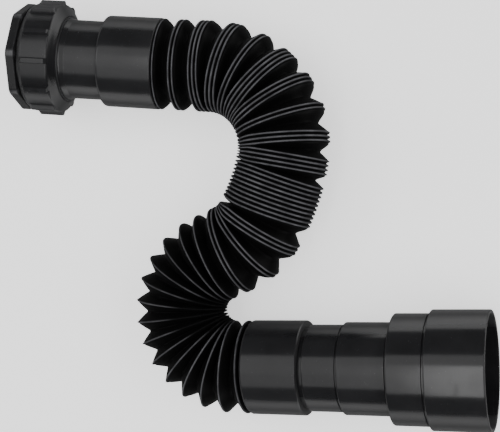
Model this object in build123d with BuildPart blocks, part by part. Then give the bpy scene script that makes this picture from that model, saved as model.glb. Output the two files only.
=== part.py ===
"""Flexible pull-out waste hose: threaded adapter and union nut, bellows hose, stepped 40/50 outlet.

The hose lies on the ground plane Z = 0. It leaves the inlet towards +X, arches round to the left,
turns back in a tight lower bend and ends in the outlet, which points to +X.
Each moving length of bellows is a node of its own: stiff rings ride on one body, and the folds
between two bodies straddle the joint.
"""
import os
from math import cos, radians, sin

from build123d import *

# ---------------------------------------------------------------- driving dimensions (mm, degrees)
RIM_RADIUS = 21.6            # crest of each convolution
FOLD_RIM_RADIUS = 21.5       # where a fold meets a rim
GROOVE_RADIUS = 20.0         # between the rims of a closed group
VALLEY_RADIUS = 16.2         # between two groups
ROOT_RADIUS = 15.6           # at the cuffs
BORE_RADIUS = 14.2
NEST_PITCH = 2.1             # rim to rim in a closed group, on the outer side of its bend
RIM_SHARE = 0.42             # rim width as a share of that pitch
WALL = 2.0

MOUTH_X = -42.74
MOUTH_Y = 67.71
INLET_HEADING = -4.5
INLET_PITCH = -5.82
OUTLET_HEADING = 1.7
OUTLET_PITCH = 3.24

# the hose's route, one run after another: length, turn to the left
LEAD_IN = 25.2
ARCH_RADIUS, ARCH_TURN = 38.0, -96.0
EASY_RADIUS, EASY_TURN = 93.0, -20.0
ELBOW_RADIUS, ELBOW_TURN = 26.5, -35.0
STRAIGHT = 11.7
BEND_RADIUS = 26.7
LEAD_OUT = 8.2

# closed groups of rims, placed by distance along the centreline from the inlet sleeve's mouth
INLET_GROUPS = [(1.2, 1), (10.6, 2), (22.2, 3)]
ARCH_RIMS = [3, 2, 4, 3, 2, 3, 4]
ARCH_START, ARCH_PITCH = 32.9, 9.33
NEST_RIMS = 10               # in the long closed group that pulls out
NEST_END_RIMS = 2            # of those, the ones that stay with each end
NEST_CENTRE = 104.6
ELBOW_RIMS = [3, 2, 2, 1]
ELBOW_START, ELBOW_PITCH = 122.1, 8.5
BEND_RIMS = 12               # single rims round the lower bend
BEND_START, BEND_PITCH = 153.0, 6.07
OUTLET_GROUPS = [(228.3, 1)]

SLEEVE_RADIUS = 21.75
SLEEVE_LENGTH = 26.4
SLEEVE_ROUND = 2.0           # closed end of the inlet sleeve
SLEEVE_EDGE = 0.5            # at its mouth
OUTLET_SLEEVE_ROUND = 1.0
OUTLET_SLEEVE_EDGE = 0.9
CUFF_RADIUS = 19.5
CUFF_LENGTH = 22.0

TUBE_RADIUS = 18.8           # inlet tail pipe
SPIGOT_RADIUS = 16.9         # tail inside the bellows' cuff
TAIL_BORE = 14.9
FLANGE_RADIUS = 23.3
FLANGE_THICKNESS = 3.0

NUT_FRONT = 46.0             # distances back from the sleeve's mouth
NUT_SHOULDER = 48.9
NUT_BACK = 63.0
NUT_RADIUS = 25.9
NUT_RIB_RADIUS = 27.65
NUT_RIB_WIDTH = 2.6
NUT_RIB_COUNT = 12
NUT_RIB_OFFSET = 10.0
NUT_RIB_BACK = 61.6
NUT_RIB_BEVEL = 1.4
NUT_RIB_ROOT = 0.6           # how deep a rib's foot goes into the wall
NUT_SEAT = 50.2              # where the wide threaded part starts
NUT_HOLE = 20.4
NUT_FACE_RIM = 0.6           # flat round the hole
NUT_EDGE_LENGTH, NUT_EDGE_DROP = 1.6, 0.95
NUT_CREST_RADIUS = 24.15
NUT_GROOVE = 0.8

THREAD_PITCH = 2.309         # 11 threads per inch
THREAD_RADIUS = 23.9
THREAD_DEPTH = 1.2
THREAD_TURNS = 3
THREAD_START = 0.8           # first ridge's distance from the plate, in pitches
THREAD_ROOT, THREAD_TIP = 0.4, 0.1
ADAPTER_BORE = 16.5
PLATE_RADIUS = 26.0
PLATE_ROTATION = 3.0
PLATE_THICKNESS = 4.4
PLATE_GAP = 1.7
PLATE_EDGE = 0.5
WASHER_THICKNESS = 2.4
WASHER_BORE = 17.4
WASHER_ROUND = 0.4
SLIP_THICKNESS = 1.5
SLIP_NOSE = 0.7              # shows in front of the nut
CLEARANCE = 0.1

# outlet: distance from the outlet sleeve's mouth to the end of each step, and the step's radius
OUTLET_STEPS = [(44.8, 19.8), (67.3, 21.0), (84.1, 25.0), (110.0, 26.7)]
OUTLET_NECK = 28.6
OUTLET_NECK_RADIUS = 18.4
OUTLET_EDGE = 0.8
SOCKET_RADIUS = 25.15
SOCKET_DEPTH = 24.0

UP = Vector(0, 0, 1)


# ---------------------------------------------------------------- the hose's route
def aim(heading, pitch):
    """Unit vector for a heading about Z and a climb, in degrees."""
    h, p = radians(heading), radians(pitch)
    return Vector(cos(h) * cos(p), sin(h) * cos(p), sin(p))


def ring_plane(centre, heading, pitch):
    """Plane of a ring of the hose: Z along the hose, X level and to its right."""
    along = aim(heading, pitch)
    return Plane(origin=centre, x_dir=along.cross(UP).normalized(), z_dir=along)


def advance(centre, heading, pitch, length, turn, climb):
    """Where the centreline is after an even arc of the given length, turn and climb."""
    swing = radians(max(abs(turn), abs(climb), 1e-9))
    chord = length * sin(swing / 2) / (swing / 2)
    return centre + aim(heading + turn / 2, pitch + climb / 2) * chord


def arc_length(radius, turn):
    return radius * radians(abs(turn))


BEND_TURN = OUTLET_HEADING - (INLET_HEADING + ARCH_TURN + EASY_TURN + ELBOW_TURN)
# each run: length, turn, climb, radius of its bend
RUNS = [
    (LEAD_IN, 0, -INLET_PITCH, None),
    (arc_length(ARCH_RADIUS, ARCH_TURN), ARCH_TURN, 0, ARCH_RADIUS),
    (arc_length(EASY_RADIUS, EASY_TURN), EASY_TURN, 0, EASY_RADIUS),
    (arc_length(ELBOW_RADIUS, ELBOW_TURN), ELBOW_TURN, 0, ELBOW_RADIUS),
    (STRAIGHT, 0, 0, None),
    (arc_length(BEND_RADIUS, BEND_TURN), BEND_TURN, 0, BEND_RADIUS),
    (LEAD_OUT, 0, OUTLET_PITCH, None),
]
HOSE_LENGTH = sum(run[0] for run in RUNS)


def mouth_height():
    """Height of the inlet mouth that brings the bellows' rims down onto the ground."""
    drop = advance(Vector(0, 0, 0), 0, INLET_PITCH, LEAD_IN, 0, -INLET_PITCH)
    return RIM_RADIUS - drop.Z


def plane_at(distance):
    """Ring plane at a distance along the centreline from the inlet sleeve's mouth."""
    centre = Vector(MOUTH_X, MOUTH_Y, mouth_height())
    heading, pitch = INLET_HEADING, INLET_PITCH
    for length, turn, climb, _ in RUNS:
        share = min(distance / length, 1.0)
        centre = advance(centre, heading, pitch, length * share, turn * share, climb * share)
        heading += turn * share
        pitch += climb * share
        distance -= length * share
        if distance <= 0:
            break
    return ring_plane(centre, heading, pitch)


def nest_pitch(distance):
    """Centreline distance between the rims of a closed group that stands there."""
    for length, _, _, radius in RUNS:
        if distance <= length:
            break
        distance -= length
    return NEST_PITCH if radius is None else NEST_PITCH / (1 + RIM_RADIUS / radius)


inlet = plane_at(0)
outlet = plane_at(HOSE_LENGTH)
# side planes hold the turned profiles: X along the hose, Y outwards
inlet_side = Plane(origin=inlet.origin, x_dir=-inlet.z_dir, z_dir=inlet.x_dir)
outlet_side = Plane(origin=outlet.origin, x_dir=outlet.z_dir, z_dir=-outlet.x_dir)
inlet_axis = Axis(inlet.origin, inlet.z_dir)
outlet_axis = Axis(outlet.origin, outlet.z_dir)

os.makedirs("parts", exist_ok=True)


def keep(piece, label):
    """Name a finished piece and write it to its own file."""
    piece.label = label
    export_step(piece, f"parts/{label}.step")


# ---------------------------------------------------------------- threaded adapter
plate_front = NUT_BACK + PLATE_GAP
plate_back = plate_front + PLATE_THICKNESS
flange_back = NUT_SEAT + CLEARANCE + SLIP_THICKNESS + FLANGE_THICKNESS
adapter_front = flange_back + WASHER_THICKNESS


def thread_ridge(at, base, tip):
    """Corners of one turn of thread in section, from the base radius to the tip radius."""
    return [
        (at - THREAD_PITCH * THREAD_ROOT, base - CLEARANCE),
        (at - THREAD_PITCH * THREAD_TIP, tip),
        (at + THREAD_PITCH * THREAD_TIP, tip),
        (at + THREAD_PITCH * THREAD_ROOT, base - CLEARANCE),
    ]


with BuildPart() as threaded_adapter:
    with BuildSketch(inlet.offset(-plate_back)):
        RegularPolygon(PLATE_RADIUS, 8, rotation=PLATE_ROTATION)
    extrude(amount=PLATE_THICKNESS)
    chamfer(threaded_adapter.edges(), PLATE_EDGE)
    with BuildSketch(inlet.offset(-plate_front)):
        Circle(THREAD_RADIUS - THREAD_DEPTH)
    extrude(amount=plate_front - adapter_front)
    for turn in range(THREAD_TURNS):
        ridge_at = plate_front - THREAD_PITCH * (turn + THREAD_START)
        with BuildSketch(inlet_side):
            with BuildLine():
                Polyline(*thread_ridge(ridge_at, THREAD_RADIUS - THREAD_DEPTH, THREAD_RADIUS), close=True)
            make_face()
        revolve(axis=inlet_axis)
    with BuildSketch(inlet.offset(-plate_back)):
        Circle(ADAPTER_BORE)
    extrude(amount=plate_back - adapter_front, mode=Mode.SUBTRACT)
keep(threaded_adapter.part, "threaded_adapter")

# ---------------------------------------------------------------- union nut
with BuildPart() as union_nut:
    with BuildSketch(inlet_side):
        with BuildLine():
            Polyline(
                (NUT_FRONT, NUT_HOLE),
                (NUT_FRONT, NUT_HOLE + NUT_FACE_RIM),
                (NUT_SHOULDER, NUT_RADIUS),
                (NUT_BACK - NUT_EDGE_LENGTH, NUT_RADIUS),
                (NUT_BACK, NUT_RADIUS - NUT_EDGE_DROP),
                (NUT_BACK, NUT_CREST_RADIUS),
                (NUT_SEAT, NUT_CREST_RADIUS),
                (NUT_SEAT, NUT_HOLE),
                close=True,
            )
        make_face()
    revolve(axis=inlet_axis)
    # grip ribs, spaced evenly round the body: square at the front, sloped at the back
    for rib in range(NUT_RIB_COUNT):
        swing = rib * 360 / NUT_RIB_COUNT + NUT_RIB_OFFSET
        rib_side = Plane(inlet.origin, x_dir=-inlet.z_dir, z_dir=inlet.x_dir.rotate(inlet_axis, swing))
        with BuildSketch(rib_side):
            with BuildLine():
                Polyline(
                    (NUT_SHOULDER, NUT_RADIUS - NUT_RIB_ROOT),
                    (NUT_SHOULDER, NUT_RIB_RADIUS),
                    (NUT_RIB_BACK - NUT_RIB_BEVEL, NUT_RIB_RADIUS),
                    (NUT_RIB_BACK, NUT_RADIUS - NUT_RIB_ROOT),
                    close=True,
                )
            make_face()
        extrude(amount=NUT_RIB_WIDTH / 2, both=True)
    # thread grooves inside
    for turn in range(THREAD_TURNS):
        groove_at = NUT_BACK - THREAD_PITCH * (turn + 1)
        groove_floor = NUT_CREST_RADIUS + NUT_GROOVE
        with BuildSketch(inlet_side):
            with BuildLine():
                Polyline(*thread_ridge(groove_at, NUT_CREST_RADIUS, groove_floor), close=True)
            make_face()
        revolve(axis=inlet_axis, mode=Mode.SUBTRACT)
keep(union_nut.part, "union_nut")

# ---------------------------------------------------------------- rings inside the nut
slip_front = NUT_SEAT + CLEARANCE
with BuildPart() as slip_ring:
    with BuildSketch(inlet_side):
        with BuildLine():
            Polyline(
                (NUT_FRONT - SLIP_NOSE, TUBE_RADIUS),
                (NUT_FRONT - SLIP_NOSE, NUT_HOLE - CLEARANCE),
                (slip_front, NUT_HOLE - CLEARANCE),
                (slip_front, FLANGE_RADIUS),
                (slip_front + SLIP_THICKNESS, FLANGE_RADIUS),
                (slip_front + SLIP_THICKNESS, TUBE_RADIUS),
                close=True,
            )
        make_face()
    revolve(axis=inlet_axis)
keep(slip_ring.part, "slip_ring")

with BuildPart() as seal_washer:
    with BuildSketch(inlet.offset(-adapter_front)):
        Circle(FLANGE_RADIUS)
        Circle(WASHER_BORE, mode=Mode.SUBTRACT)
    extrude(amount=WASHER_THICKNESS)
    fillet(seal_washer.edges().filter_by(GeomType.CIRCLE), WASHER_ROUND)
keep(seal_washer.part, "seal_washer")

# ---------------------------------------------------------------- inlet tail pipe and sleeve
with BuildPart() as tail_pipe:
    with BuildSketch(inlet_side):
        with BuildLine():
            Polyline(
                (flange_back, FLANGE_RADIUS),
                (flange_back - FLANGE_THICKNESS, FLANGE_RADIUS),
                (flange_back - FLANGE_THICKNESS, TUBE_RADIUS),
                (SLEEVE_LENGTH - WALL, TUBE_RADIUS),
                (SLEEVE_LENGTH - WALL, SPIGOT_RADIUS),
                (WALL, SPIGOT_RADIUS),
                (WALL, TAIL_BORE),
                (SLEEVE_LENGTH, TAIL_BORE),
                (SLEEVE_LENGTH + WALL, TUBE_RADIUS - WALL),
                (flange_back, TUBE_RADIUS - WALL),
                close=True,
            )
        make_face()
    revolve(axis=inlet_axis)
keep(tail_pipe.part, "tail_pipe")


def sleeve(label, side, axis, shaft_radius, closed_round, mouth_chamfer):
    """A sleeve over one end of the bellows: open mouth at the start, wall round the pipe behind."""
    with BuildPart() as collar:
        with BuildSketch(side):
            with BuildLine():
                Polyline(
                    (SLEEVE_LENGTH, SLEEVE_RADIUS - closed_round),
                    (SLEEVE_LENGTH, shaft_radius),
                    (SLEEVE_LENGTH - WALL, shaft_radius),
                    (SLEEVE_LENGTH - WALL, CUFF_RADIUS),
                    (0, CUFF_RADIUS),
                    (0, SLEEVE_RADIUS - mouth_chamfer),
                    (mouth_chamfer, SLEEVE_RADIUS),
                    (SLEEVE_LENGTH - closed_round, SLEEVE_RADIUS),
                )
                RadiusArc(
                    (SLEEVE_LENGTH - closed_round, SLEEVE_RADIUS),
                    (SLEEVE_LENGTH, SLEEVE_RADIUS - closed_round),
                    closed_round,
                )
            make_face()
        revolve(axis=axis)
    keep(collar.part, label)


for label, side, axis, shaft_radius, closed_round, mouth_edge in (
    ("inlet_sleeve", inlet_side, inlet_axis, TUBE_RADIUS, SLEEVE_ROUND, SLEEVE_EDGE),
    ("outlet_sleeve", outlet_side, outlet_axis, OUTLET_NECK_RADIUS, OUTLET_SLEEVE_ROUND, OUTLET_SLEEVE_EDGE),
):
    sleeve(label, side, axis, shaft_radius, closed_round, mouth_edge)

# ---------------------------------------------------------------- plain cuffs of the bellows
for label, side, axis in (
    ("inlet_cuff", inlet_side, inlet_axis),
    ("outlet_cuff", outlet_side, outlet_axis),
):
    with BuildPart() as cuff:
        with BuildSketch(side):
            with BuildLine():
                Polyline(
                    (0, ROOT_RADIUS),
                    (0, BORE_RADIUS),
                    (WALL, BORE_RADIUS),
                    (WALL, SPIGOT_RADIUS),
                    (CUFF_LENGTH, SPIGOT_RADIUS),
                    (CUFF_LENGTH, CUFF_RADIUS),
                    (WALL, CUFF_RADIUS),
                    close=True,
                )
            make_face()
        revolve(axis=axis)
    keep(cuff.part, label)

# ---------------------------------------------------------------- stepped outlet
socket_floor = OUTLET_STEPS[-1][0] - SOCKET_DEPTH
with BuildPart() as stepped_outlet:
    with BuildSketch(outlet_side):
        outer = [
            (WALL, TAIL_BORE),
            (WALL, SPIGOT_RADIUS),
            (SLEEVE_LENGTH - WALL, SPIGOT_RADIUS),
            (SLEEVE_LENGTH - WALL, OUTLET_NECK_RADIUS),
            (OUTLET_NECK, OUTLET_NECK_RADIUS),
        ]
        start = OUTLET_NECK
        for end, radius in OUTLET_STEPS:
            outer += [(start, radius - OUTLET_EDGE), (start + OUTLET_EDGE, radius), (end, radius)]
            start = end
        end, radius = OUTLET_STEPS[-1]
        outer[-1] = (end - OUTLET_EDGE, radius)
        inner = [(end, radius - OUTLET_EDGE), (end, SOCKET_RADIUS), (socket_floor, SOCKET_RADIUS)]
        # narrower steps, walked back towards the hose
        starts = [OUTLET_NECK] + [step_end for step_end, _ in OUTLET_STEPS[:-2]]
        far = socket_floor
        for near, (_, radius) in zip(reversed(starts), reversed(OUTLET_STEPS[:-1])):
            inner += [(far, radius - WALL), (near + WALL, radius - WALL)]
            far = near + WALL
        inner += [(SLEEVE_LENGTH, TAIL_BORE)]
        with BuildLine():
            Polyline(*outer, *inner, close=True)
        make_face()
    revolve(axis=outlet_axis)
keep(stepped_outlet.part, "stepped_outlet")


# ---------------------------------------------------------------- bellows
def group(centre, rims):
    """Stations of one closed group, as (distance, radius): rims with grooves between them."""
    pitch = nest_pitch(centre)
    half_rim = pitch * RIM_SHARE / 2
    stations = []
    for rim in range(rims):
        crest = centre + (rim - (rims - 1) / 2) * pitch
        if rim:
            stations.append((crest - pitch / 2, GROOVE_RADIUS))
        stations += [(crest - half_rim, RIM_RADIUS), (crest + half_rim, RIM_RADIUS)]
    return stations


def valley(before, after, radius=VALLEY_RADIUS):
    """The one station halfway between two groups."""
    return [((before[-1][0] + after[0][0]) / 2, radius)]


def fold(before, after, between=()):
    """Stations from the last rim of one group to the first of the next, through any rims between."""
    stations = [(before[-1][0], FOLD_RIM_RADIUS)]
    if between:
        stations += valley(before, between, GROOVE_RADIUS)
        stations += [(distance, min(radius, FOLD_RIM_RADIUS)) for distance, radius in between]
        stations += valley(between, after, GROOVE_RADIUS)
    else:
        stations += valley(before, after)
    return stations + [(after[0][0], FOLD_RIM_RADIUS)]


def bellows(label, stations):
    """A length of bellows through its stations, with a plain bore."""
    with BuildPart() as length:
        for distance, radius in stations:
            with BuildSketch(plane_at(distance)):
                Circle(radius)
        loft(ruled=True)
        for distance, _ in stations:
            with BuildSketch(plane_at(distance)):
                Circle(BORE_RADIUS)
        loft(ruled=True, mode=Mode.SUBTRACT)
    keep(length.part, label)


def spread(name, start, pitch, rims):
    """Evenly spaced groups of one bend, as (name, stations)."""
    return [(f"{name}_{n + 1}", group(start + n * pitch, count)) for n, count in enumerate(rims)]


at_inlet = [(0, ROOT_RADIUS)]
for centre, rims in INLET_GROUPS:
    stations = group(centre, rims)
    if len(at_inlet) > 1:
        at_inlet += valley(at_inlet, stations)
    at_inlet += stations
at_outlet = group(*OUTLET_GROUPS[0]) + [(HOSE_LENGTH, ROOT_RADIUS)]

nest_moving = NEST_RIMS - 2 * NEST_END_RIMS
nest_half = nest_pitch(NEST_CENTRE) * (NEST_RIMS - NEST_END_RIMS) / 2
# from the inlet to the outlet: each group rides on a body of its own, and a fold joins it to the next
GROUPS = [
    ("inlet", at_inlet),
    *spread("arch", ARCH_START, ARCH_PITCH, ARCH_RIMS),
    ("nest_near", group(NEST_CENTRE - nest_half, NEST_END_RIMS)),
    ("nest_far", group(NEST_CENTRE + nest_half, NEST_END_RIMS)),
    *spread("elbow", ELBOW_START, ELBOW_PITCH, ELBOW_RIMS),
    *spread("bend", BEND_START, BEND_PITCH, [1] * BEND_RIMS),
    ("outlet", at_outlet),
]
for name, stations in GROUPS:
    bellows(f"rings_{name}", stations)
for (name, before), (_, after) in zip(GROUPS, GROUPS[1:]):
    moving = group(NEST_CENTRE, nest_moving) if name == "nest_near" else ()
    bellows(f"folds_{name}", fold(before, after, moving))
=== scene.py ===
"""Looks of a pull-out bellows waste hose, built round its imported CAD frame.

Lengths in this file are millimetres, as in the CAD, and become metres in new_mesh().
"""
import math

import bpy
import numpy as np
from mathutils import Matrix, Vector


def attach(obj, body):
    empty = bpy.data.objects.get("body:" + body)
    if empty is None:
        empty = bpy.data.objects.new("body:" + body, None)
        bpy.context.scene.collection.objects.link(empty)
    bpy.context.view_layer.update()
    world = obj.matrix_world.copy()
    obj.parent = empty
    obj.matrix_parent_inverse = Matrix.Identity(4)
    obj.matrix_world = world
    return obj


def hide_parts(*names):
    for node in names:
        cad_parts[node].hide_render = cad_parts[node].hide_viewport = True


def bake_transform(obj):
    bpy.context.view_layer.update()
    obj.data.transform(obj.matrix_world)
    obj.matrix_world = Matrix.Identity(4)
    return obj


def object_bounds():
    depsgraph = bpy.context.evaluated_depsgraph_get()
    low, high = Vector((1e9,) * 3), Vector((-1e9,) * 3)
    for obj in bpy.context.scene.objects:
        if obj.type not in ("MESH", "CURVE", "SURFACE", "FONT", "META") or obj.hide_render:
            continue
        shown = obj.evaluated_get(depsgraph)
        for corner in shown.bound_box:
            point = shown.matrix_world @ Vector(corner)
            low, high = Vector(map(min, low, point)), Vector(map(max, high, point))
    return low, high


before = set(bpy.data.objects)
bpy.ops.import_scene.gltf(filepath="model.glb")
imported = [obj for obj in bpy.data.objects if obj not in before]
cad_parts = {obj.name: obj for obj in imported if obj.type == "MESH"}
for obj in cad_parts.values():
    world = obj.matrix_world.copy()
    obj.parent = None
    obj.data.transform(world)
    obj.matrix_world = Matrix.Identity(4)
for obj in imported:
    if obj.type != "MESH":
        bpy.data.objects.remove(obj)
cad_box = [list(corner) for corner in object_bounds()]

MM = 0.001
BLACK_TINT = (1.0, 1.0, 1.07)

# ---------------------------------------------------------------- the hose's route, as in the CAD
RIM = 21.6
VALLEY = 17.0
SLOT = 20.4
BORE = 14.4
MOUTH_X, MOUTH_Y = -42.74, 67.71
INLET_HEADING, INLET_PITCH = -4.5, -5.82
OUTLET_HEADING, OUTLET_PITCH = 1.7, 3.24
LEAD_IN, STRAIGHT, LEAD_OUT = 25.2, 11.7, 8.2
ARCH_RADIUS, ARCH_TURN = 38.0, -96.0
EASY_RADIUS, EASY_TURN = 93.0, -20.0
ELBOW_RADIUS, ELBOW_TURN = 26.5, -35.0
BEND_RADIUS = 26.7
BEND_TURN = OUTLET_HEADING - (INLET_HEADING + ARCH_TURN + EASY_TURN + ELBOW_TURN)


def arc(radius, turn):
    return radius * math.radians(abs(turn))


RUNS = [  # length, turn, climb
    (LEAD_IN, 0.0, -INLET_PITCH),
    (arc(ARCH_RADIUS, ARCH_TURN), ARCH_TURN, 0.0),
    (arc(EASY_RADIUS, EASY_TURN), EASY_TURN, 0.0),
    (arc(ELBOW_RADIUS, ELBOW_TURN), ELBOW_TURN, 0.0),
    (STRAIGHT, 0.0, 0.0),
    (arc(BEND_RADIUS, BEND_TURN), BEND_TURN, 0.0),
    (LEAD_OUT, 0.0, OUTLET_PITCH),
]
HOSE_LENGTH = sum(run[0] for run in RUNS)
STEP = 0.05
MARGIN = 12.0                # straight continuation inside the sleeves


def make_route():
    """Distance, centre, heading and pitch in radians at close steps along the centreline."""
    distance = np.arange(-MARGIN, HOSE_LENGTH + MARGIN, STEP)
    heading = np.full(len(distance), math.radians(INLET_HEADING))
    pitch = np.full(len(distance), math.radians(INLET_PITCH))
    start = 0.0
    for length, turn, climb in RUNS:
        share = np.clip((distance - start) / length, 0, 1)
        heading += share * math.radians(turn)
        pitch += share * math.radians(climb)
        start += length
    along = np.stack([np.cos(heading) * np.cos(pitch), np.sin(heading) * np.cos(pitch), np.sin(pitch)], 1)
    moved = np.vstack([np.zeros(3), np.cumsum((along[1:] + along[:-1]) / 2 * STEP, axis=0)])
    at_mouth = np.array([np.interp(0, distance, moved[:, k]) for k in range(3)])
    after_lead = np.interp(LEAD_IN, distance, moved[:, 2]) - at_mouth[2]
    mouth = np.array([MOUTH_X, MOUTH_Y, RIM - after_lead])
    return distance, moved - at_mouth + mouth, heading, pitch


ROUTE_S, ROUTE_C, ROUTE_H, ROUTE_P = make_route()
TURNED = ROUTE_H - math.radians(INLET_HEADING)


def station(distance):
    """Centre, direction, right side and up vectors at distances along the hose; arrays welcome."""
    s = np.asarray(distance, float)
    centre = np.stack([np.interp(s, ROUTE_S, ROUTE_C[:, k]) for k in range(3)], -1)
    h, p = np.interp(s, ROUTE_S, ROUTE_H), np.interp(s, ROUTE_S, ROUTE_P)
    along = np.stack([np.cos(h) * np.cos(p), np.sin(h) * np.cos(p), np.sin(p)], -1)
    side = np.stack([np.sin(h), -np.cos(h), np.zeros_like(h)], -1)
    return centre, along, side, np.cross(side, along)


# ---------------------------------------------------------------- meshes
def new_mesh(name, points, faces, masks=None, sharp=40):
    """A smooth-shaded mesh from points in millimetres, with its rest position kept for the textures."""
    mesh = bpy.data.meshes.new(name)
    mesh.from_pydata((np.asarray(points) * MM).tolist(), [], [tuple(f) for f in faces])
    mesh.validate()
    mesh.update()
    mesh.shade_smooth()
    mesh.set_sharp_from_angle(angle=math.radians(sharp))
    rest = mesh.attributes.new("rest", "FLOAT_VECTOR", "POINT")
    rest.data.foreach_set("vector", (np.asarray(points) * MM).astype(np.float32).ravel())
    for key, values in (masks or {}).items():
        layer = mesh.attributes.new(key, "FLOAT", "POINT")
        layer.data.foreach_set("value", np.asarray(values, np.float32))
    obj = bpy.data.objects.new(name, mesh)
    bpy.context.collection.objects.link(obj)
    return obj


def grid_faces(rows, columns, close_rows):
    """Quads of a grid whose columns go all the way round."""
    i = np.arange(rows if close_rows else rows - 1)[:, None]
    j = np.arange(columns)[None, :]
    i1, j1 = (i + 1) % rows, (j + 1) % columns
    corners = [i * columns + j, i1 * columns + j, i1 * columns + j1, i * columns + j1]
    return np.stack(corners, -1).reshape(-1, 4)


# ---------------------------------------------------------------- bellows
COLUMNS = 144
PHI = np.linspace(0, 2 * math.pi, COLUMNS, endpoint=False)
RIGHT = np.cos(PHI)
NEST = 2.1                   # rim to rim in a closed group
TIGHT = 1.15                 # the least gap between two groups, on the inside of a bend
RIM_HALF = 0.4
OPEN_GAP = 4.2               # a gap this wide shows the fold's whole depth
CLOSED_DEPTH = 0.3           # share of the depth that a shut fold shows

# body, centre along the hose and number of rims of each closed group
GROUPS = [("inlet_end", 22.2, 3)]
GROUPS += [(f"arch_{n + 1}", 32.9 + n * 9.33, rims) for n, rims in enumerate([3, 2, 4, 3, 2, 3, 4])]
GROUPS += [("nest", 104.6, 10)]
GROUPS += [(f"elbow_{n + 1}", 122.1 + n * 8.5, rims) for n, rims in enumerate([3, 2, 2, 1])]
GROUPS += [(f"bend_{n + 1}", 153.0 + n * 6.07, 1) for n in range(12)]
GROUPS += [("outlet_end", 228.3, 1)]
EXTRA_AT_INLET = [(1.2, 1), (10.6, 2)]


def surface_distance(s):
    """Distance along the outside of the hose from the inlet mouth, for every column."""
    return s + RIM * RIGHT * np.interp(s, ROUTE_S, TURNED)


def centreline(surface):
    """The inverse of surface_distance(), column by column."""
    outside = [ROUTE_S + RIM * right * TURNED for right in RIGHT]
    return np.array([np.interp(surface[j], outside[j], ROUTE_S) for j in range(COLUMNS)])


def soft_min(a, b, sharp=0.12):
    return (a + b - np.sqrt((a - b) ** 2 + sharp ** 2)) / 2


class Profile:
    """Rows of the bellows: surface distance and radius for every column."""

    def __init__(self):
        self.rows = []
        self.marks = {}

    def add(self, surface, radius):
        self.rows.append((surface, np.broadcast_to(radius, (COLUMNS,)).astype(float)))

    def mark(self, name):
        self.marks[name] = len(self.rows) - 1


SLOT_SHAPE = [(0.04, RIM), (0.11, RIM - 0.04), (0.17, RIM - 0.16), (0.22, RIM - 0.38), (0.27, RIM - 0.72),
              (0.36, SLOT + 0.15), (0.5, SLOT), (0.64, SLOT + 0.15), (0.73, RIM - 0.72), (0.78, RIM - 0.38),
              (0.83, RIM - 0.16), (0.89, RIM - 0.04), (0.96, RIM)]
RIM_SHAPE = [(0.0, 0.0), (0.16, 0.0), (0.5, 0.05), (0.78, 0.22), (1.0, 0.6)]
# radius across an open fold: with a lobe behind the last rim, and without
LOBED_GAP = [(0.02, 20.75), (0.07, 20.85), (0.13, 20.60), (0.20, 20.00), (0.27, 19.25), (0.34, 18.50),
             (0.42, 17.70), (0.49, 17.2), (0.54, VALLEY), (0.59, 17.15), (0.68, 18.0), (0.80, 19.2),
             (0.92, 20.35), (0.98, 20.9)]
PLAIN_GAP = [(0.02, 20.85), (0.07, 20.50), (0.13, 19.95), (0.20, 19.25), (0.27, 18.55), (0.34, 17.85),
             (0.42, 17.05), (0.49, 16.5), (0.54, 16.45), (0.59, 16.75), (0.68, 17.75), (0.80, 19.05),
             (0.92, 20.35), (0.98, 20.95)]
ROWS_PER_RIM = len(SLOT_SHAPE) + 1


def closed_group(profile, name, centre, rims, pitch):
    """Rims of one group with deep slots between them; marks its middle row and returns its last rim."""
    middle = surface_distance(centre)
    first = middle - (rims - 1) / 2 * pitch
    profile.add(first, RIM)
    for rim in range(rims):
        if rims % 2 and rim == (rims - 1) // 2:
            profile.mark(name)
        if rim == rims - 1:
            break
        for share, radius in SLOT_SHAPE:
            profile.add(first + (rim + share) * pitch, radius)
            if not rims % 2 and rim == rims // 2 - 1 and share == 0.5:
                profile.mark(name)
        profile.add(first + (rim + 1) * pitch, RIM)
    return first + (rims - 1) * pitch


def open_gap(profile, start, end, lobe):
    """The open fold from the last rim of a group to the first rim of the next."""
    gap = end - start
    half = np.minimum(RIM_HALF, 0.2 * gap)
    for share, drop in RIM_SHAPE[1:]:
        profile.add(start + half * share, RIM - drop)
    inner = gap - 2 * half
    open_share = np.clip((gap - TIGHT) / (OPEN_GAP - TIGHT), 0, 1)
    for (share, lobed), (_, plain) in zip(LOBED_GAP, PLAIN_GAP):
        depth = RIM - (lobe * lobed + (1 - lobe) * plain)
        shown = CLOSED_DEPTH + (1 - CLOSED_DEPTH) * open_share
        profile.add(start + half + inner * share, RIM - depth * shown)
    for share, drop in reversed(RIM_SHAPE[1:]):
        profile.add(end - half * share, RIM - drop)


def group_pitches(groups):
    """Nested pitch of each group for every column: full, unless the inside of the bend leaves less room."""
    middles = [surface_distance(centre) for _, centre, _ in groups]
    pitches = [np.full(COLUMNS, NEST) for _ in groups]
    for a in range(len(groups) - 1):
        slots = (groups[a][2] - 1 + groups[a + 1][2] - 1) / 2
        if slots:
            room = (middles[a + 1] - middles[a] - TIGHT) / slots
            for k in (a, a + 1):
                pitches[k] = np.minimum(pitches[k], soft_min(np.full(COLUMNS, NEST), room))
    return pitches


# distance from each end of the hose, and radius, where the bellows goes into its sleeve
INLET_NECK = [(-2.0, 16.0), (-1.2, 16.0), (-0.6, 18.6), (0.2, 19.1), (0.55, 20.6), (0.85, 21.3)]
OUTLET_NECK = [(-2.1, 21.4), (-1.8, 20.9), (-1.2, 19.0), (-0.6, 16.6), (0.0, 16.0), (2.0, 16.0)]
LOBES_END, LOBES_FADE = 160.0, 30.0


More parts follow.
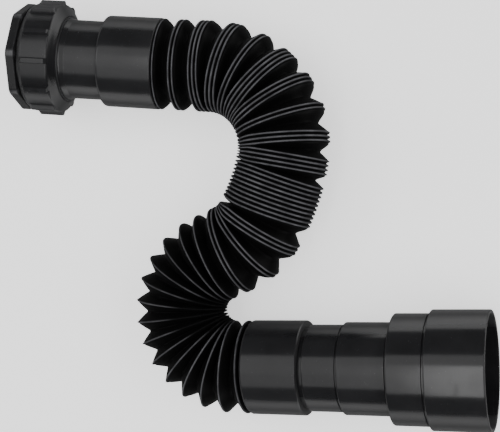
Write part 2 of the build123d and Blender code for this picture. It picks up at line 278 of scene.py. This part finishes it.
def bellows_profile():
    """All rows of the bellows from mouth to mouth."""
    profile = Profile()
    groups = [("", centre, rims) for centre, rims in EXTRA_AT_INLET] + GROUPS
    pitches = group_pitches(groups)
    for distance, radius in INLET_NECK:
        profile.add(surface_distance(distance), radius)
        if distance == INLET_NECK[0][0]:
            profile.mark("inlet_mouth")
    for (name, centre, rims), pitch in zip(groups, pitches):
        if centre > groups[0][1]:
            lobe = np.clip((LOBES_END - centre) / LOBES_FADE, 0, 1)
            open_gap(profile, last, surface_distance(centre) - (rims - 1) / 2 * pitch, lobe)
        last = closed_group(profile, name, centre, rims, pitch)
    for distance, radius in OUTLET_NECK:
        profile.add(surface_distance(HOSE_LENGTH + distance), radius)
    profile.mark("outlet_mouth")
    return profile


profile = bellows_profile()
ROW_S = np.array([centreline(surface) for surface, _ in profile.rows])
ROW_R = np.array([radius for _, radius in profile.rows])
ring = station(ROW_S)


def ring_points(radius):
    """Points of all rows at a radius, from the rows' stations."""
    centre, _, side, up = ring
    return centre + radius[..., None] * (RIGHT[:, None] * side + np.sin(PHI)[:, None] * up)


OUTER = ring_points(ROW_R)
INNER = ring_points(np.full(ROW_R.shape, BORE))
INNER_EVERY = 6
BEND_MIDDLE, BEND_SPREAD = 184.0, 20.0
# over this stretch of the tight bend the rims are lightened less
RIM_DIM_START, RIM_DIM_RISE, RIM_DIM_END, RIM_DIM_FALL, RIM_DIM_LOSS = 146.0, 12.0, 209.0, 14.0, 0.4
UNLIT_RIMS_LOW, UNLIT_RIMS_SPAN, UNLIT_RIMS_FADE = -1.2, 1.0, 0.4   # where round the hose the rims' lightening starts; the bend's inner side stays dark as painted shade


def rim_whitening_and_highlight():
    """Rim whitening and painted highlight: less in the tight bend, none on the bend's inner side (painted
    shade).
    """
    inner = np.exp(-((ROW_S - BEND_MIDDLE) / BEND_SPREAD) ** 2)
    dimmed = np.clip((ROW_S - RIM_DIM_START) / RIM_DIM_RISE, 0, 1)
    dimmed = dimmed * np.clip((RIM_DIM_END - ROW_S) / RIM_DIM_FALL, 0, 1)
    share = np.clip((RIGHT - (UNLIT_RIMS_LOW + UNLIT_RIMS_SPAN * inner)) / UNLIT_RIMS_FADE, 0, 1)
    return share * share * (3 - 2 * share) * (1 - RIM_DIM_LOSS * dimmed)


RIM_WHITENING_AND_HIGHLIGHT = rim_whitening_and_highlight()


def bellows_piece(name, first_row, last_row):
    """A closed shell of bellows between two rows."""
    rows = np.arange(first_row, last_row + 1)
    back = np.unique(np.append(rows[::INNER_EVERY], last_row))[::-1]
    points = np.concatenate([OUTER[rows].reshape(-1, 3), INNER[back].reshape(-1, 3)])
    radius = np.concatenate([ROW_R[rows].ravel(), np.full(len(back) * COLUMNS, BORE)])
    # rims painted lighter: partly stress-whitening, partly painted highlight; kept dark as painted shade on
    # the bend's inner side
    whitening_and_highlight = np.concatenate([RIM_WHITENING_AND_HIGHLIGHT[rows].ravel(), np.ones(len(back) * COLUMNS)])
    rim = np.clip((radius - (RIM - 0.45)) / 0.35, 0, 1) * whitening_and_highlight
    # painted shade: the colour darkens towards the bottom of each slot
    painted_slot_shade = np.clip((RIM - 0.35 - radius) / 0.8, 0, 1)
    faces = grid_faces(len(rows) + len(back), COLUMNS, True)
    return new_mesh(name, points, faces, {"rim": rim, "painted_slot_shade": painted_slot_shade})


# ---------------------------------------------------------------- materials
class Nodes:
    """Short calls for building one material's node tree."""

    def __init__(self, name):
        self.material = bpy.data.materials.new(name)
        self.material.use_nodes = True
        self.tree = self.material.node_tree
        self.shader = self.tree.nodes["Principled BSDF"]

    def add(self, kind, inputs=None, **settings):
        node = self.tree.nodes.new(kind)
        for key, value in settings.items():
            setattr(node, key, value)
        for key, value in (inputs or {}).items():
            self.feed(node.inputs[key], value)
        return node

    def feed(self, socket, value):
        if isinstance(value, bpy.types.NodeSocket):
            self.tree.links.new(value, socket)
        else:
            socket.default_value = value

    def noise(self, where, scale, detail=3.0, roughness=0.55, stretch=None):
        if stretch:
            where = self.add("ShaderNodeVectorMath", {0: where, 1: stretch}, operation="MULTIPLY").outputs[0]
        return self.add("ShaderNodeTexNoise", {"Vector": where, "Scale": scale, "Detail": detail,
                                               "Roughness": roughness}).outputs["Fac"]

    def ranged(self, value, low, high, to_low, to_high):
        return self.add("ShaderNodeMapRange", {"Value": value, "From Min": low, "From Max": high,
                                               "To Min": to_low, "To Max": to_high}).outputs["Result"]

    def math(self, operation, a, b):
        return self.add("ShaderNodeMath", {0: a, 1: b}, operation=operation).outputs[0]

    def mix(self, factor, a, b):
        node = self.add("ShaderNodeMix", data_type="RGBA")
        self.feed(node.inputs["Factor"], factor)
        self.feed(node.inputs[6], a)
        self.feed(node.inputs[7], b)
        return node.outputs[2]

    def attribute(self, name, output="Fac"):
        return self.add("ShaderNodeAttribute", attribute_name=name).outputs[output]


def tinted(level):
    return tuple(level * channel for channel in BLACK_TINT) + (1.0,)


def plastic(name, level, rough, worn=0.10, coarse=0.5, ior=1.42, from_cad=False, rims=False):
    """Moulded black polypropylene: faint mottling, flow marks, fine grain, dust and scuffs; with rims, also
    painted shade in the slots and rims painted lighter, partly stress-whitening and partly painted
    highlight.
    """
    n = Nodes(name)
    where = n.add("ShaderNodeTexCoord").outputs["Object"] if from_cad else n.attribute("rest", "Vector")
    mottle = n.noise(where, 55.0, 4.0)
    grain = n.noise(where, 2600.0, 2.0)
    flow = n.noise(where, 90.0, 2.0, 0.4)
    scuff = n.noise(where, 320.0, 5.0, 0.7, stretch=(1.0, 0.22, 1.0))
    specks = n.noise(where, 1500.0, 1.0)
    colour = n.mix(n.ranged(mottle, 0.35, 0.7, 0.0, 1.0), tinted(level * 0.85), tinted(level * 1.2))
    scuffed = n.ranged(scuff, 0.60, 0.78, 0.0, 0.35)
    colour = n.mix(scuffed, colour, tinted(level * 2.2))
    colour = n.mix(n.ranged(specks, 0.74, 0.80, 0.0, 0.25), colour, tinted(0.16))
    roughness = n.math("ADD", n.ranged(mottle, 0.3, 0.7, rough * 0.9, rough * 1.1),
                       n.math("MULTIPLY", scuffed, 0.35))
    if rims:
        rim = n.attribute("rim")
        uneven = n.ranged(n.noise(where, 160.0, 3.0), 0.3, 0.7, 0.45, 1.0)
        # painted shade: darker colour deep in the slots
        colour = n.mix(n.math("MULTIPLY", n.attribute("painted_slot_shade"), 0.8), colour, tinted(level * 0.18))
        # rims painted lighter: partly stress-whitening, partly painted highlight
        colour = n.mix(n.math("MULTIPLY", rim, uneven), colour, tinted(worn))
        roughness = n.math("SUBTRACT", roughness, n.math("MULTIPLY", rim, 0.18))
    else:
        edge = n.attribute("edge")
        wear = n.math("MULTIPLY", edge, n.ranged(scuff, 0.42, 0.62, 0.15, 1.0))
        colour = n.mix(wear, colour, tinted(worn))
        roughness = n.math("ADD", roughness, n.math("MULTIPLY", wear, 0.15))
    # moulded plastic looks duller where it turns away
    turned = n.add("ShaderNodeLayerWeight", {"Blend": 0.5}).outputs["Facing"]
    roughness = n.math("ADD", roughness, n.ranged(turned, 0.30, 0.60, 0.0, 0.7))
    height = n.math("ADD", n.math("MULTIPLY", grain, coarse * 0.25),
                    n.math("ADD", flow, n.math("MULTIPLY", scuff, 0.05)))
    bump = n.add("ShaderNodeBump", {"Strength": 0.11, "Distance": 0.0004, "Height": height})
    n.feed(n.shader.inputs["Base Color"], colour)
    n.feed(n.shader.inputs["Roughness"], roughness)
    n.feed(n.shader.inputs["Normal"], bump.outputs["Normal"])
    n.shader.inputs["IOR"].default_value = ior
    return n.material


# on the bellows, worn is the rims' lighter colour: partly stress-whitening, partly painted highlight
BELLOWS = plastic("bellows_black", 0.0035, 0.60, worn=0.122, ior=1.17, rims=True)
SLEEVE = plastic("sleeve_black", 0.015, 0.20, worn=0.03)
PIPE = plastic("pipe_black", 0.015, 0.19, worn=0.03)
OUTLET = plastic("outlet_black", 0.014, 0.16, worn=0.016)
NUT = plastic("nut_black", 0.016, 0.24, worn=0.045)
ADAPTER = plastic("adapter_black", 0.014, 0.28, worn=0.10)
HIDDEN = plastic("inner_black", 0.012, 0.5, from_cad=True)
RING_GREY = plastic("ring_grey", 0.025, 0.35, from_cad=True)
RUBBER = plastic("seal_rubber", 0.012, 0.6, coarse=1.5, from_cad=True)


def finish_piece(piece, material, slot, *nodes):
    piece.data.materials.clear()
    piece.data.materials.append(material)
    if nodes:
        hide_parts(*nodes)


# ---------------------------------------------------------------- bellows pieces
inlet_piece = bellows_piece("bellows_inlet", profile.marks["inlet_mouth"], profile.marks["inlet_end"])
finish_piece(inlet_piece, BELLOWS, "bellows_plastic", "rings_inlet")
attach(inlet_piece, "inlet_end")
outlet_piece = bellows_piece("bellows_outlet", profile.marks["outlet_end"], profile.marks["outlet_mouth"])
finish_piece(outlet_piece, BELLOWS, "bellows_plastic", "rings_outlet")
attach(outlet_piece, "outlet_end")

# body, middle row and the rows of the first and last rim; the long closed group belongs to two bodies
chain = []
for name, _, rims in GROUPS:
    row = profile.marks[name]
    span = (rims - 1) * ROWS_PER_RIM
    low, high = row - span // 2, row - span // 2 + span
    if name == "nest":
        chain.append(("nest_near", low + ROWS_PER_RIM // 2, low, low + ROWS_PER_RIM))
        chain.append(("nest_far", high - ROWS_PER_RIM // 2, high - ROWS_PER_RIM, high))
    else:
        chain.append((name, row, low, high))

for (body, row, _, last_rim), (next_body, next_row, first_rim, _) in zip(chain, chain[1:]):
    piece = bellows_piece(f"bellows_{body}_to_{next_body}", row, next_row)
    label = {"inlet_end": "inlet"}.get(body, body)
    stands_for = [f"folds_{label}"] + ([f"rings_{next_body}"] if next_body != "outlet_end" else [])
    finish_piece(piece, BELLOWS, "bellows_plastic", *stands_for)
    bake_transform(piece)

# ---------------------------------------------------------------- turned pieces
def outward_axis(distance, sign):
    """Origin, outward direction, side and up at one end of the hose."""
    centre, along, side, _ = station(distance)
    return centre, sign * along, side, np.cross(side, sign * along)


INLET_AXIS = outward_axis(0.0, -1)
OUTLET_AXIS = outward_axis(HOSE_LENGTH, 1)
TURNED_COLUMNS = 160
ARC_STEPS = 5
LONG_RUN, SUPPORT = 1.0, 0.12    # runs this long get a point this far from each end


def rounded(corners):
    """Profile points from corners (distance, radius, round), each corner turned into a small arc."""
    points, edge = [], []
    count = len(corners)
    for k in range(count):
        p = np.array(corners[k][:2], float)
        r = corners[k][2] if len(corners[k]) > 2 else 0.0
        before = np.array(corners[k - 1][:2], float) - p
        after = np.array(corners[(k + 1) % count][:2], float) - p
        la, lb = np.linalg.norm(before), np.linalg.norm(after)
        if r <= 0 or la < 1e-6 or lb < 1e-6:
            points.append(p)
            edge.append(0.0)
            continue
        a, b = before / la, after / lb
        angle = math.acos(np.clip(a @ b, -1, 1))
        trim = min(r / math.tan(angle / 2), la * 0.45, lb * 0.45)
        start, end = p + a * trim, p + b * trim
        for t in np.linspace(0, 1, ARC_STEPS + 1):
            points.append((1 - t) ** 2 * start + 2 * t * (1 - t) * p + t * t * end)
            edge.append(1.0 - abs(2 * t - 1))
    return with_support(np.array(points), np.array(edge))


def with_support(points, edge):
    """Adds points close to both ends of each long run, so that its shading stays straight."""
    kept, mask = [], []
    for k, point in enumerate(points):
        run = points[(k + 1) % len(points)] - point
        length = np.linalg.norm(run)
        kept.append(point)
        mask.append(edge[k])
        if length > LONG_RUN:
            kept += [point + run * SUPPORT / length, point + run * (1 - SUPPORT / length)]
            mask += [0.0, 0.0]
    return np.array(kept), np.array(mask)


def lathe(name, axis, corners, columns=TURNED_COLUMNS, shape=None):
    """A closed turned mesh. shape(distance, radius, angle) may change the radius round the axis."""
    origin, along, side, up = axis
    profile_points, edge = rounded(corners)
    angles = columns
    if np.isscalar(columns):
        angles = np.linspace(0, 2 * math.pi, columns, endpoint=False)
    x = np.repeat(profile_points[:, 0][:, None], len(angles), 1)
    r = np.repeat(profile_points[:, 1][:, None], len(angles), 1)
    mask = np.repeat(edge[:, None], len(angles), 1)
    if shape:
        r, extra = shape(x, r, angles[None, :])
        mask = np.maximum(mask, extra)
    points = (origin + x[..., None] * along
              + r[..., None] * (np.cos(angles)[:, None] * side + np.sin(angles)[:, None] * up))
    faces = grid_faces(len(x), len(angles), True)
    return new_mesh(name, points.reshape(-1, 3), faces, {"edge": mask.ravel()}, sharp=35)


# sleeve over the bellows' inlet end
inlet_sleeve = lathe("inlet_sleeve_skin", INLET_AXIS, [
    (0.0, 19.5, 0.3), (0.0, 21.75, 0.5), (26.4, 21.75, 2.0), (26.4, 18.8, 0.2), (24.4, 18.8), (24.4, 19.5)])
finish_piece(inlet_sleeve, SLEEVE, "sleeve_plastic", "inlet_sleeve")
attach(inlet_sleeve, "inlet_end")

outlet_sleeve = lathe("outlet_sleeve_skin", OUTLET_AXIS, [
    (0.0, 19.5, 0.3), (0.0, 21.1, 0.3), (0.9, 21.75, 0.3), (26.0, 21.75, 0.25), (26.4, 21.4, 0.2),
    (26.4, 18.4, 0.2), (24.4, 18.4), (24.4, 19.5)])
finish_piece(outlet_sleeve, SLEEVE, "sleeve_plastic", "outlet_sleeve")
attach(outlet_sleeve, "outlet_end")

tail_pipe = lathe("tail_pipe_skin", INLET_AXIS, [
    (54.8, 16.8), (54.8, 23.3, 0.3), (51.8, 23.3, 0.3), (51.8, 18.8), (45.3, 18.8), (45.3, 19.6, 0.2),
    (44.6, 19.5, 0.4), (42.6, 18.9, 1.2), (24.4, 18.8), (24.4, 16.9), (2.0, 16.9), (2.0, 14.9),
    (26.4, 14.9), (28.4, 16.8)])
finish_piece(tail_pipe, PIPE, "pipe_plastic", "tail_pipe")
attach(tail_pipe, "inlet_end")

stepped_outlet = lathe("stepped_outlet_skin", OUTLET_AXIS, [
    (2.0, 14.9), (2.0, 16.9), (24.4, 16.9), (24.4, 18.4), (28.6, 18.4, 0.2), (28.6, 19.8, 0.7),
    (43.7, 19.8, 0.15), (43.9, 19.3), (44.8, 19.3), (44.8, 21.0, 0.5), (66.2, 21.0, 0.15), (66.4, 20.5),
    (67.3, 20.5), (67.3, 25.0, 0.7), (82.9, 25.0, 0.15), (83.1, 24.4), (84.1, 24.4), (84.1, 26.7, 0.5),
    (110.0, 26.7, 0.6), (110.0, 25.15, 0.4), (86.0, 25.15), (86.0, 23.0), (69.3, 23.0), (69.3, 19.0),
    (46.8, 19.0), (46.8, 17.8), (30.6, 17.8), (26.4, 14.9)])
finish_piece(stepped_outlet, OUTLET, "outlet_plastic", "stepped_outlet")
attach(stepped_outlet, "outlet_end")

# ---------------------------------------------------------------- union nut
RIBS = 12
RIB_OFFSET = 10.0
RIB_HALF, RIB_BEVEL = 1.3, 0.35
NUT_RADIUS, RIB_RADIUS = 25.9, 27.65
RIBS_START, START_SLOPE, RIBS_END, END_SLOPE = 48.5, 0.5, 61.6, 1.4
RIB_WEAR = 0.12
NUT_OUTSIDE = 25.0           # the ribs rise only from radii beyond this


def rib_columns():
    """Angles round the nut, close together at the flanks of each rib."""
    half = np.array([0.4, RIB_HALF - RIB_BEVEL, RIB_HALF - 0.05, RIB_HALF + 0.1, RIB_HALF + 0.35,
                     RIB_HALF + 0.9])
    steps = np.concatenate([-half[::-1], half])
    between = np.linspace(RIB_HALF + 0.9, 2 * math.pi * NUT_RADIUS / RIBS - RIB_HALF - 0.9, 10)[1:-1]
    one = np.concatenate([steps, between]) / NUT_RADIUS
    return np.concatenate([one + k * 2 * math.pi / RIBS for k in range(RIBS)])


def nut_shape(x, r, angle):
    """Raises the grip ribs from the nut's wall; their ends slope."""
    pitch = 2 * math.pi / RIBS
    across = np.abs(((angle + pitch / 2) % pitch) - pitch / 2) * NUT_RADIUS
    height = np.clip((RIB_HALF + 0.1 - across) / RIB_BEVEL, 0, 1) ** 0.8
    ends = np.clip((x - RIBS_START) / START_SLOPE, 0, 1) * np.clip((RIBS_END - x) / END_SLOPE, 0, 1)
    outer = r > NUT_OUTSIDE
    rise = np.where(outer, height * ends * (RIB_RADIUS - r), 0)
    worn = np.where(outer & (height > 0.9), ends * RIB_WEAR, 0)
    return r + rise, worn


nut_side = np.array(Matrix.Rotation(math.radians(RIB_OFFSET), 3, Vector(-INLET_AXIS[1]))) @ INLET_AXIS[3]
NUT_AXIS = (INLET_AXIS[0], INLET_AXIS[1], nut_side, np.cross(nut_side, INLET_AXIS[1]))
union_nut = lathe("union_nut_skin", NUT_AXIS, [
    (46.0, 20.4, 0.25), (46.0, 21.0, 0.3), (46.9, 22.6), (47.7, 24.2), (48.3, 25.3), (48.5, 25.6),
    (48.7, 25.75), (48.9, 25.86), (49.2, 25.9), (52.0, 25.9), (56.0, 25.9), (59.6, 25.9), (60.2, 25.9),
    (60.8, 25.9), (61.3, 25.9, 0.2), (62.2, 25.5, 0.2), (63.0, 24.95, 0.3), (63.0, 24.15, 0.2),
    (50.2, 24.15), (50.2, 20.4)],
    columns=rib_columns(), shape=nut_shape)
finish_piece(union_nut, NUT, "nut_plastic", "union_nut")
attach(union_nut, "nut")

# ---------------------------------------------------------------- threaded adapter with its octagonal plate
PLATE_FRONT, PLATE_BACK = 64.7, 69.1
OCTAGON_RADIUS, OCTAGON_TURN = 26.0, 3.0
OCTAGON_CLIP, OCTAGON_WEAR, WORN_ANGLE = 0.985, 0.6, 0.05    # blunted, scuffed corners
PLATE_OUTSIDE = 24.2         # the octagon shapes only radii beyond this
THREAD_PITCH, THREAD_ROOT, THREAD_CREST = 2.309, 22.7, 23.9
THREAD_FOOT, THREAD_TOP = 0.92, 0.23                         # half widths of a thread


def octagon_shape(x, r, angle):
    """Turns the plate's round outline into an octagon with slightly rounded corners."""
    pitch = math.pi / 4
    corner = ((angle - math.radians(OCTAGON_TURN)) + pitch / 2) % pitch - pitch / 2
    flat = math.cos(math.pi / 8) / np.cos(np.abs(corner) - math.pi / 8)
    flat = np.minimum(flat, OCTAGON_CLIP)
    plate = r > PLATE_OUTSIDE
    worn = np.where(plate & (np.abs(corner) < WORN_ANGLE), OCTAGON_WEAR, 0)
    return np.where(plate, r * flat, r), worn


def thread_corners():
    """Three separate thread rings, from the plate towards the hose."""
    corners = []
    for turn in range(3):
        at = PLATE_FRONT - THREAD_PITCH * (turn + 0.8)
        corners += [(at + THREAD_FOOT, THREAD_ROOT), (at + THREAD_TOP, THREAD_CREST, 0.12),
                    (at - THREAD_TOP, THREAD_CREST, 0.12), (at - THREAD_FOOT, THREAD_ROOT)]
    return corners


threaded_adapter = lathe("threaded_adapter_skin", INLET_AXIS, [
    (PLATE_BACK, 16.5, 0.5), (PLATE_BACK, 22.3), (PLATE_BACK, 24.6), (PLATE_BACK, 25.4),
    (PLATE_BACK - 0.25, 25.85, 0.1), (PLATE_BACK - 0.6, OCTAGON_RADIUS, 0.2),
    (PLATE_FRONT + 0.6, OCTAGON_RADIUS, 0.2), (PLATE_FRONT + 0.25, 25.85, 0.1),
    (PLATE_FRONT, 25.4), (PLATE_FRONT, 24.6), (PLATE_FRONT, THREAD_ROOT)] + thread_corners()
    + [(57.2, THREAD_ROOT, 0.4), (57.2, 16.5, 0.4)], columns=192, shape=octagon_shape)
finish_piece(threaded_adapter, ADAPTER, "adapter_plastic", "threaded_adapter")
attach(threaded_adapter, "adapter")

# ---------------------------------------------------------------- CAD pieces kept as they are
for node, material in (("inlet_cuff", HIDDEN), ("outlet_cuff", HIDDEN), ("slip_ring", RING_GREY),
                       ("seal_washer", RUBBER)):
    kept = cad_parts[node]
    kept.data.materials.clear()
    kept.data.materials.append(material)

# ---------------------------------------------------------------- floor, lights, camera
floor_z = cad_box[0][2] - 0.0002
bpy.ops.mesh.primitive_plane_add(size=6.0, location=(0, 0, floor_z))
floor = bpy.context.object
floor.name = "floor"
f = Nodes("floor_paper")
f.feed(f.shader.inputs["Base Color"], f.mix(f.noise(f.add("ShaderNodeTexCoord").outputs["Object"], 3.0),
                                            (0.86, 0.86, 0.86, 1), (0.9, 0.9, 0.9, 1)))
f.shader.inputs["Roughness"].default_value = 0.9
f.shader.inputs["Emission Color"].default_value = (1.0, 1.0, 1.0, 1.0)
f.shader.inputs["Emission Strength"].default_value = 1.0
floor.data.materials.append(f.material)

world = bpy.data.worlds.new("studio")
bpy.context.scene.world = world
world.use_nodes = True
world.node_tree.nodes["Background"].inputs["Color"].default_value = (0.95, 0.97, 1.0, 1)
world.node_tree.nodes["Background"].inputs["Strength"].default_value = 0.10


def softbox(name, location, size, power):
    """An area light that shines straight down."""
    data = bpy.data.lights.new(name, "AREA")
    data.shape = "RECTANGLE"
    data.size, data.size_y = size
    data.energy = power
    box = bpy.data.objects.new(name, data)
    bpy.context.collection.objects.link(box)
    box.location = location
    box.rotation_mode = "QUATERNION"
    box.rotation_quaternion = Vector((0, 0, -location[2])).to_track_quat("-Z", "Y")


softbox("overhead", (-0.2, 0.25, 1.25), (1.3, 1.1), 6.3)
softbox("front", (-0.2, -0.77, 1.25), (1.3, 0.94), 4.6)
softbox("outlet_glow", (-0.140, -0.445, 1.2), (0.11, 1.37), 2.3)
softbox("nut_glow", (-0.98, 0.25, 1.2), (0.44, 0.9), 4.5)
softbox("right_fill", (1.45, 0.0, 1.25), (1.4, 2.4), 24)
softbox("left_fill", (-2.1, 0.0, 1.25), (1.2, 2.4), 16)

CAMERA_TILT = math.radians(16.1)
CAMERA_X, CAMERA_Y, CAMERA_Z = 0.14395, -0.00502, 0.517
camera_data = bpy.data.cameras.new("camera")
camera_data.sensor_width = 36.0
camera_data.lens = 79.2
camera_data.dof.use_dof = False
camera = bpy.data.objects.new("camera", camera_data)
bpy.context.collection.objects.link(camera)
s, c = math.sin(CAMERA_TILT), math.cos(CAMERA_TILT)
camera.matrix_world = Matrix(((c, 0, s, CAMERA_X), (0, 1, 0, CAMERA_Y), (-s, 0, c, CAMERA_Z), (0, 0, 0, 1)))
bpy.context.scene.camera = camera
